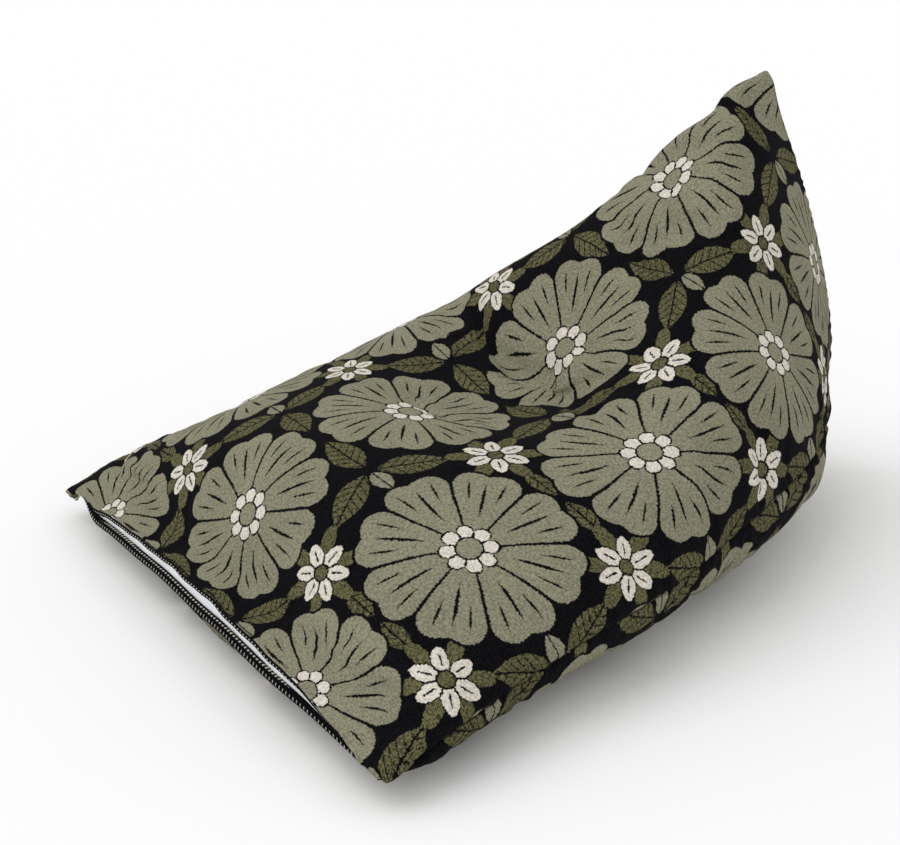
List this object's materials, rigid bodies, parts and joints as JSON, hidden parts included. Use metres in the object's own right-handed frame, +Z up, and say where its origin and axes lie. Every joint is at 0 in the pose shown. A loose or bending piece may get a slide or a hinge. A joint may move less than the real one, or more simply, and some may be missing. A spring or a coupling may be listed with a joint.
{
  "type": "triangular lounge bean bag",
  "caption": "Triangular lounge bean bag: a filled woven cover with a flat zipped foot, a dished seat and a pointed backrest with an upright back seam.",
  "frame": {"origin": "on the floor under the middle of the bag's bounding box", "axes": "+Z up, +Y from the zipped foot edge to the backrest, +X along the foot edge"},
  "size_m": [0.9582, 1.1618, 0.6736],
  "materials": {
    "woven_cloth": "matte woven jacquard in sage, dark olive, cream and near-black",
    "zip_cloth": "smooth pale grey woven tape"
  },
  "bodies": {
    "root": {"bag": "woven_cloth", "zip_tape": "zip_cloth"}
  },
  "joints": []
}
